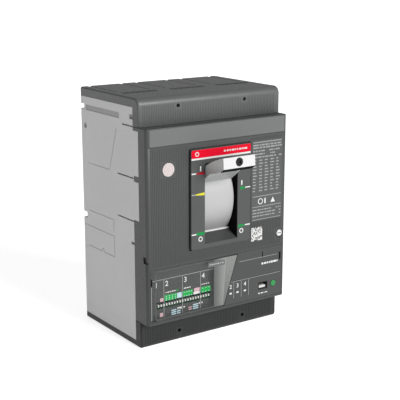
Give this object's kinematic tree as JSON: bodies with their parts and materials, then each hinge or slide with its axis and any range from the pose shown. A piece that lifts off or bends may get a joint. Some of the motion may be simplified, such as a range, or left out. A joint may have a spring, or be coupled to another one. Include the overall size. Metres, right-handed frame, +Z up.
{
  "type": "molded case breaker",
  "caption": "Molded case circuit breaker with a toggle lever, an electronic trip unit under a hinged clear cover, coupled moving contacts and bolted terminals.",
  "frame": {"origin": "centre of the rear mounting face", "axes": "+Z up from the load side to the line side, +Y out of the rear mounting face, so the front and its lever face -Y, +X to the right seen from the front"},
  "size_m": [0.14, 0.1304, 0.205],
  "materials": {
    "base_plastic": "fine matt moulded, light grey",
    "cover_plastic": "fine matt moulded, dark grey",
    "bottom_plastic": "fine matt moulded, darker grey",
    "plate_plastic": "satin moulded, dark grey, with printed marks",
    "disc_plastic": "off-white",
    "lever_plastic": "satin dark grey",
    "grip_plastic": "satin pale grey",
    "drum_plastic": "smooth pale grey",
    "steel_zinc": "zinc plated",
    "steel_black": "blackened screws",
    "spring_steel": "drawn wire",
    "copper": "bare copper, cold formed",
    "silver": "silver-tungsten tips",
    "crossbar_plastic": "black thermoset",
    "fibre": "vulcanised fibre, red-brown",
    "sensor_resin": "cast resin, dark blue",
    "unit_plastic": "matt moulded, dark grey",
    "board": "green circuit board",
    "switch_black": "black-green moulded",
    "slider_white": "white moulded",
    "clear_smoked": "smoked clear polycarbonate",
    "port_black": "black moulded",
    "lamp_green": "green translucent lens",
    "button_white": "white moulded"
  },
  "bodies": {
    "housing": {"base_housing": "base_plastic", "front_cover": "cover_plastic", "escutcheon": "plate_plastic", "inspection_disc": "disc_plastic", "top_terminal_cover": "cover_plastic", "bottom_terminal_cover": "bottom_plastic", "terminal_cover_screws": "steel_black", "mechanism_frame": "steel_zinc", "cradle": "steel_zinc", "trip_actuator": "port_black", "bearing_blocks": "crossbar_plastic", "line_terminals": "copper", "load_terminals": "copper", "fixed_contact_tips": "silver", "flexible_braids": "copper", "arc_chute_plates": "steel_zinc", "arc_chute_frames": "fibre", "current_sensors": "sensor_resin", "trip_unit_faceplate": "unit_plastic", "trip_unit_housing": "port_black", "circuit_board": "board", "dip_switch_body": "switch_black", "test_port": "port_black", "status_lamp": "lamp_green"},
    "lever": {"toggle_lever": "lever_plastic", "lever_grip_cap": "grip_plastic", "lever_grip_screw": "steel_black", "lever_drum": "drum_plastic", "lever_yoke": "steel_zinc", "main_springs": "spring_steel"},
    "contact_crossbar": {"crossbar": "crossbar_plastic", "moving_contact_arms": "copper"},
    "upper_toggle_links": {"upper_links": "steel_zinc"},
    "lower_toggle_links": {"lower_links": "steel_zinc"},
    "latch": {"trip_latch": "steel_zinc"},
    "common_trip_bar": {"trip_bar": "crossbar_plastic"},
    "actuator_plunger": {"trip_plunger": "steel_zinc"},
    "push_to_trip_button": {"trip_button": "button_white", "trip_button_spring": "spring_steel"},
    "clear_settings_cover": {"settings_cover": "clear_smoked"},
    "setting_slider_01_body": {"setting_slider_01": "slider_white"},
    "setting_slider_02_body": {"setting_slider_02": "slider_white"},
    "setting_slider_03_body": {"setting_slider_03": "slider_white"},
    "setting_slider_04_body": {"setting_slider_04": "slider_white"},
    "setting_slider_05_body": {"setting_slider_05": "slider_white"},
    "setting_slider_06_body": {"setting_slider_06": "slider_white"},
    "setting_slider_07_body": {"setting_slider_07": "slider_white"},
    "setting_slider_08_body": {"setting_slider_08": "slider_white"},
    "setting_slider_09_body": {"setting_slider_09": "slider_white"},
    "setting_slider_10_body": {"setting_slider_10": "slider_white"},
    "setting_slider_11_body": {"setting_slider_11": "slider_white"},
    "setting_slider_12_body": {"setting_slider_12": "slider_white"},
    "setting_slider_13_body": {"setting_slider_13": "slider_white"},
    "setting_slider_14_body": {"setting_slider_14": "slider_white"},
    "setting_slider_15_body": {"setting_slider_15": "slider_white"},
    "setting_slider_16_body": {"setting_slider_16": "slider_white"},
    "setting_slider_17_body": {"setting_slider_17": "slider_white"},
    "setting_slider_18_body": {"setting_slider_18": "slider_white"},
    "setting_slider_19_body": {"setting_slider_19": "slider_white"},
    "setting_slider_20_body": {"setting_slider_20": "slider_white"}
  },
  "joints": [
    {"name": "lever_pivot", "type": "hinge", "parent": "housing", "child": "lever", "pos_m": [0, -0.0605, 0.0147], "axis": [1, 0, 0], "range_deg": [0, 54], "deforming": ["main_springs"]},
    {"name": "crossbar_pivot", "type": "hinge", "parent": "housing", "child": "contact_crossbar", "pos_m": [0, -0.036, -0.008], "axis": [1, 0, 0], "range_deg": [0, 35], "deforming": ["flexible_braids"]},
    {"name": "upper_link_pivot", "type": "hinge", "parent": "housing", "child": "upper_toggle_links", "pos_m": [0, -0.069, 0.006], "axis": [1, 0, 0], "range_deg": [-52.88, 0]},
    {"name": "lower_link_pivot", "type": "hinge", "parent": "contact_crossbar", "child": "lower_toggle_links", "pos_m": [0, -0.042, 0.006], "axis": [1, 0, 0], "range_deg": [-23.34, 0]},
    {"name": "trip_bar_pivot", "type": "hinge", "parent": "housing", "child": "common_trip_bar", "pos_m": [0, -0.054, -0.026], "axis": [-1, 0, 0], "range_deg": [0, 12], "stiffness_Nm_per_rad": 0.02, "springref_deg": -5.73},
    {"name": "latch_pivot", "type": "hinge", "parent": "housing", "child": "latch", "pos_m": [0, -0.055, -0.018], "axis": [-1, 0, 0], "range_deg": [0, 8]},
    {"name": "plunger_slide", "type": "slide", "parent": "housing", "child": "actuator_plunger", "axis": [0, 0, 1], "range_m": [0, 0.004]},
    {"name": "trip_button_press", "type": "slide", "parent": "housing", "child": "push_to_trip_button", "axis": [0, 1, 0], "range_m": [0, 0.0025], "stiffness_N_per_m": 400, "springref_m": -0.001, "deforming": ["trip_button_spring"]},
    {"name": "settings_cover_hinge", "type": "hinge", "parent": "housing", "child": "clear_settings_cover", "pos_m": [-0.065, -0.1025, -0.055], "axis": [0, 0, -1], "range_deg": [0, 100]},
    {"name": "setting_switch_01", "type": "slide", "parent": "housing", "child": "setting_slider_01_body", "axis": [0, 0, 1], "range_m": [0, 0.0015]},
    {"name": "setting_switch_02", "type": "slide", "parent": "housing", "child": "setting_slider_02_body", "axis": [0, 0, 1], "range_m": [0, 0.0015]},
    {"name": "setting_switch_03", "type": "slide", "parent": "housing", "child": "setting_slider_03_body", "axis": [0, 0, 1], "range_m": [0, 0.0015]},
    {"name": "setting_switch_04", "type": "slide", "parent": "housing", "child": "setting_slider_04_body", "axis": [0, 0, 1], "range_m": [0, 0.0015]},
    {"name": "setting_switch_05", "type": "slide", "parent": "housing", "child": "setting_slider_05_body", "axis": [0, 0, 1], "range_m": [0, 0.0015]},
    {"name": "setting_switch_06", "type": "slide", "parent": "housing", "child": "setting_slider_06_body", "axis": [0, 0, 1], "range_m": [0, 0.0015]},
    {"name": "setting_switch_07", "type": "slide", "parent": "housing", "child": "setting_slider_07_body", "axis": [0, 0, 1], "range_m": [0, 0.0015]},
    {"name": "setting_switch_08", "type": "slide", "parent": "housing", "child": "setting_slider_08_body", "axis": [0, 0, 1], "range_m": [0, 0.0015]},
    {"name": "setting_switch_09", "type": "slide", "parent": "housing", "child": "setting_slider_09_body", "axis": [0, 0, 1], "range_m": [0, 0.0015]},
    {"name": "setting_switch_10", "type": "slide", "parent": "housing", "child": "setting_slider_10_body", "axis": [0, 0, 1], "range_m": [0, 0.0015]},
    {"name": "setting_switch_11", "type": "slide", "parent": "housing", "child": "setting_slider_11_body", "axis": [0, 0, 1], "range_m": [0, 0.0015]},
    {"name": "setting_switch_12", "type": "slide", "parent": "housing", "child": "setting_slider_12_body", "axis": [0, 0, 1], "range_m": [0, 0.0015]},
    {"name": "setting_switch_13", "type": "slide", "parent": "housing", "child": "setting_slider_13_body", "axis": [0, 0, 1], "range_m": [0, 0.0015]},
    {"name": "setting_switch_14", "type": "slide", "parent": "housing", "child": "setting_slider_14_body", "axis": [0, 0, 1], "range_m": [0, 0.0015]},
    {"name": "setting_switch_15", "type": "slide", "parent": "housing", "child": "setting_slider_15_body", "axis": [0, 0, 1], "range_m": [0, 0.0015]},
    {"name": "setting_switch_16", "type": "slide", "parent": "housing", "child": "setting_slider_16_body", "axis": [0, 0, 1], "range_m": [0, 0.0015]},
    {"name": "setting_switch_17", "type": "slide", "parent": "housing", "child": "setting_slider_17_body", "axis": [0, 0, 1], "range_m": [0, 0.0015]},
    {"name": "setting_switch_18", "type": "slide", "parent": "housing", "child": "setting_slider_18_body", "axis": [0, 0, 1], "range_m": [0, 0.0015]},
    {"name": "setting_switch_19", "type": "slide", "parent": "housing", "child": "setting_slider_19_body", "axis": [0, 0, 1], "range_m": [0, 0.0015]},
    {"name": "setting_switch_20", "type": "slide", "parent": "housing", "child": "setting_slider_20_body", "axis": [0, 0, 1], "range_m": [0, 0.0015]}
  ],
  "couplings": [
    {"joint": "crossbar_pivot", "follows": "lever_pivot", "ratio": 0.64814},
    {"joint": "upper_link_pivot", "follows": "lever_pivot", "ratio": -0.97925},
    {"joint": "lower_link_pivot", "follows": "lever_pivot", "ratio": -0.43221},
    {"joint": "latch_pivot", "follows": "trip_bar_pivot", "ratio": 0.6666}
  ]
}
